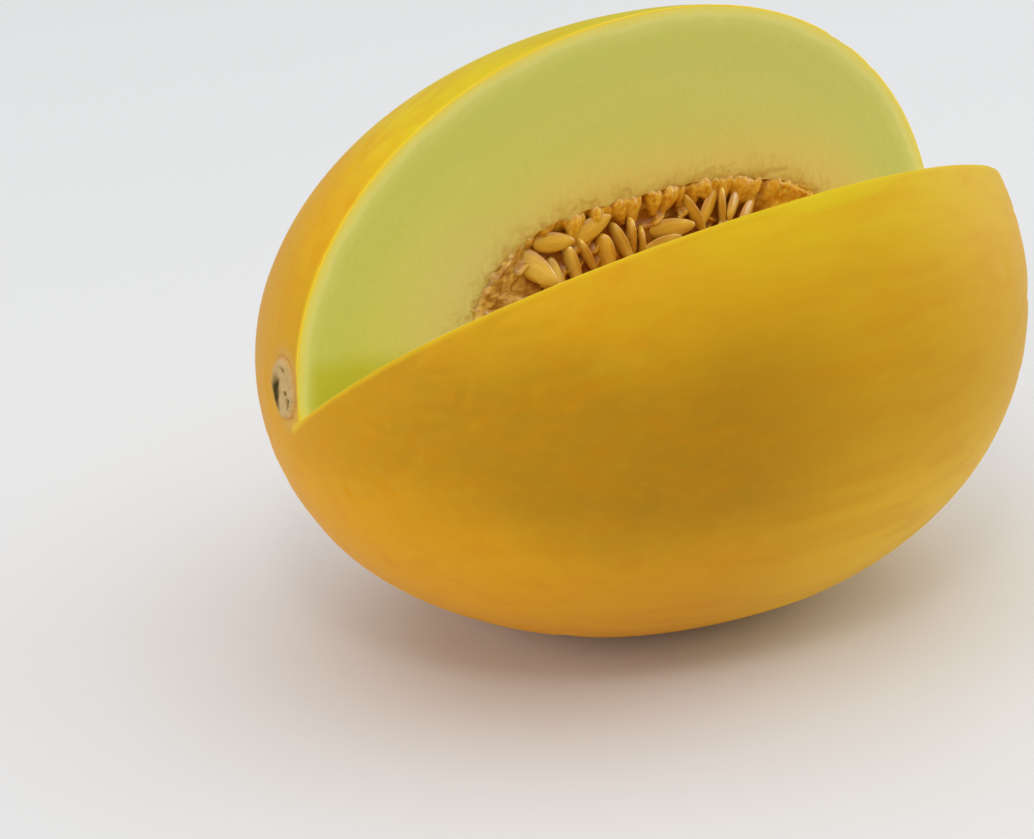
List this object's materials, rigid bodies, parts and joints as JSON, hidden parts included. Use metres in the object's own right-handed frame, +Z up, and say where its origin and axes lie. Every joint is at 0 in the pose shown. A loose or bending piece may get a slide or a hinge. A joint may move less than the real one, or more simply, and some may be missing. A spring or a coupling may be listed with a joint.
{
  "type": "canary melon",
  "caption": "Oval yellow canary melon lying on its side with a wedge cut out, showing pale green flesh and a cavity full of seeds.",
  "frame": {"origin": "on the ground, under the middle of the fruit's outline", "axes": "+X along the fruit from the stem scar to the blossom scar, +Z up out of the surface that it rests on; the notch opens upwards and a little towards -Y"},
  "size_m": [0.2099, 0.1614, 0.1584],
  "materials": {
    "rind_and_flesh": "satin, waxy yellow rind over moist pale green flesh",
    "seeds_and_pulp": "wet tan seeds in orange fibrous pulp"
  },
  "bodies": {
    "root": {"melon_body": "rind_and_flesh", "seed_cluster": "seeds_and_pulp"}
  },
  "joints": []
}
